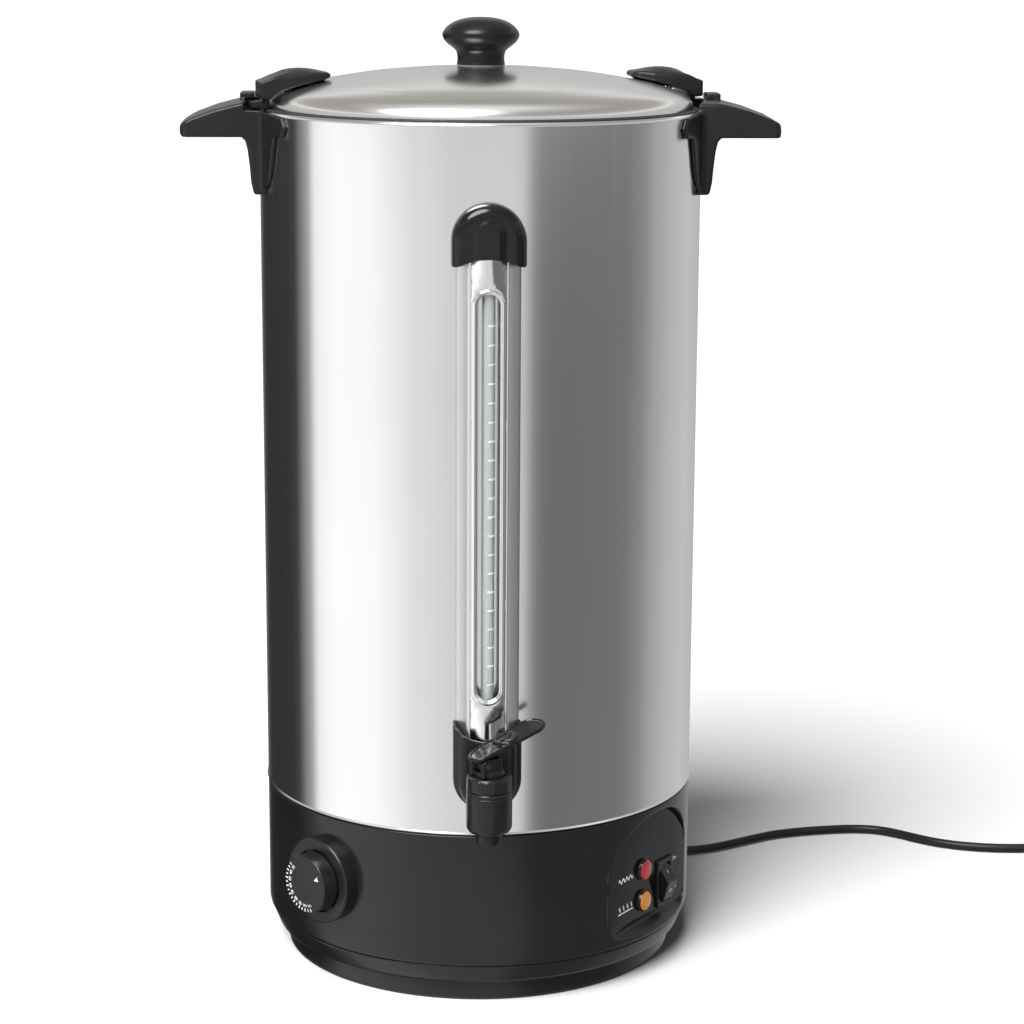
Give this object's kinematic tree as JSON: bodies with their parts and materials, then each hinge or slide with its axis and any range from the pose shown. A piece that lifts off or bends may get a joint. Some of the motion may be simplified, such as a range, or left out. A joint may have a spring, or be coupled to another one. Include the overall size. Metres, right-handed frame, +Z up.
{
  "type": "electric catering urn",
  "caption": "Tall stainless urn on a black electrical base, with a domed twist-lock lid, side grips, sight gauge, lever tap, thermostat dial, rocker switch and signal lamps.",
  "frame": {"origin": "on the floor, under the tank's axis, in the plane that the foot ring stands on", "axes": "+Z up along the tank's axis; the tap and gauge face -Y; the right-hand grip is towards +X"},
  "size_m": [0.791, 0.4333, 0.6839],
  "materials": {
    "steel_polished": "polished stainless, mirror-like, faint vertical drawing marks",
    "steel_plain": "plain bright fastener steel",
    "handle_plastic": "satin dark grey-black heat-resistant moulding",
    "tap_plastic": "semi-gloss dark grey moulding",
    "lever_plastic": "glossy black moulding",
    "base_plastic": "semi-gloss black, very fine grain",
    "panel_gloss": "glossy black",
    "rocker_gloss": "glossy black",
    "dial_plastic": "semi-gloss black with white print",
    "knob_plastic": "semi-gloss black",
    "inner_black": "plain black",
    "lamp_red": "translucent red lens",
    "lamp_amber": "translucent amber lens",
    "insulator": "cream insulating moulding",
    "copper": "copper",
    "plate_aluminium": "cast, dull",
    "element_steel": "dull grey sheath",
    "wire_insulation": "coloured wire insulation",
    "tube_glass": "clear tube",
    "silicone_clear": "translucent silicone",
    "silicone_red": "red silicone",
    "rubber_black": "black rubber",
    "seal_dark": "dark rubber seal",
    "cord_rubber": "black rubber sheath",
    "plug_plastic": "moulded black plug",
    "pin_brass": "nickel-plated brass"
  },
  "bodies": {
    "urn": {"tank": "steel_polished", "gauge_guard": "steel_polished", "handle_left": "handle_plastic", "handle_right": "handle_plastic", "handle_screws": "steel_plain", "handle_washers": "silicone_clear", "gauge_tube": "tube_glass", "gauge_top_cap": "handle_plastic", "gauge_shield": "handle_plastic", "gauge_foot": "steel_plain", "gauge_foot_nut": "steel_plain", "gauge_seals": "silicone_red", "gauge_bush": "silicone_clear", "tap_body": "tap_plastic", "tap_bonnet_nut": "tap_plastic", "tap_gasket": "silicone_clear", "tap_back_nut": "steel_plain", "base_housing": "base_plastic", "base_bottom": "base_plastic", "foot_ring": "rubber_black", "base_screws": "steel_plain", "control_panel": "panel_gloss", "red_lamp": "lamp_red", "amber_lamp": "lamp_amber", "lamp_holders": "insulator", "switch_frame": "panel_gloss", "switch_body": "inner_black", "thermostat_bezel": "dial_plastic", "thermostat_body": "insulator", "thermostat_bulb": "copper", "heating_plate": "plate_aluminium", "heating_element": "element_steel", "thermal_cutout": "insulator", "terminal_block": "insulator", "wiring": "wire_insulation", "cord_gland": "rubber_black", "power_cord": "cord_rubber", "cord_coil": "cord_rubber", "cord_tie": "inner_black", "power_plug": "plug_plastic", "plug_pins": "pin_brass"},
    "lid_ring": {"lid_seal": "seal_dark"},
    "lid": {"lid_dome": "steel_polished", "lid_knob": "knob_plastic", "knob_washer": "silicone_clear", "knob_screw": "steel_plain", "lid_lug_left": "handle_plastic", "lid_lug_right": "handle_plastic", "lug_screws": "steel_plain"},
    "tap_head": {"tap_turret": "tap_plastic", "lever_pin": "steel_plain", "tap_spring": "steel_plain"},
    "lever": {"tap_lever": "lever_plastic"},
    "valve": {"tap_stem": "steel_plain", "seat_cup": "silicone_clear"},
    "temperature_knob": {"thermostat_knob": "dial_plastic", "thermostat_shaft": "steel_plain"},
    "rocker": {"switch_rocker": "rocker_gloss"}
  },
  "joints": [
    {"name": "lid_lift", "type": "slide", "parent": "urn", "child": "lid_ring", "axis": [0, 0, 1], "range_m": [0, 0.2]},
    {"name": "lid_turn", "type": "hinge", "parent": "lid_ring", "child": "lid", "pos_m": [0, 0, 0.62], "axis": [0, 0, 1], "range_deg": [-9, 0]},
    {"name": "tap_swivel", "type": "hinge", "parent": "urn", "child": "tap_head", "pos_m": [0, -0.203, 0.18], "axis": [0, 0, 1], "range_deg": [-90, 0]},
    {"name": "tap_lever_lift", "type": "hinge", "parent": "tap_head", "child": "lever", "pos_m": [-0.00539, -0.20664, 0.1948], "axis": [0.5592, -0.829, 0], "range_deg": [0, 28], "stiffness_Nm_per_rad": 0.4, "springref_deg": -11.46},
    {"name": "tap_valve", "type": "slide", "parent": "tap_head", "child": "valve", "axis": [0, 0, 1], "range_m": [0, 0.0033], "deforming": ["tap_spring"]},
    {"name": "temperature_turn", "type": "hinge", "parent": "urn", "child": "temperature_knob", "pos_m": [0, 0, 0.08], "axis": [0.7193, 0.6947, 0], "range_deg": [0, 240]},
    {"name": "switch_rock", "type": "hinge", "parent": "urn", "child": "rocker", "pos_m": [0.13285, -0.06809, 0.06], "axis": [0.5878, 0.809, 0], "range_deg": [0, 20]}
  ],
  "couplings": [
    {"joint": "tap_valve", "follows": "tap_lever_lift", "m_per_rad": 0.0065}
  ]
}
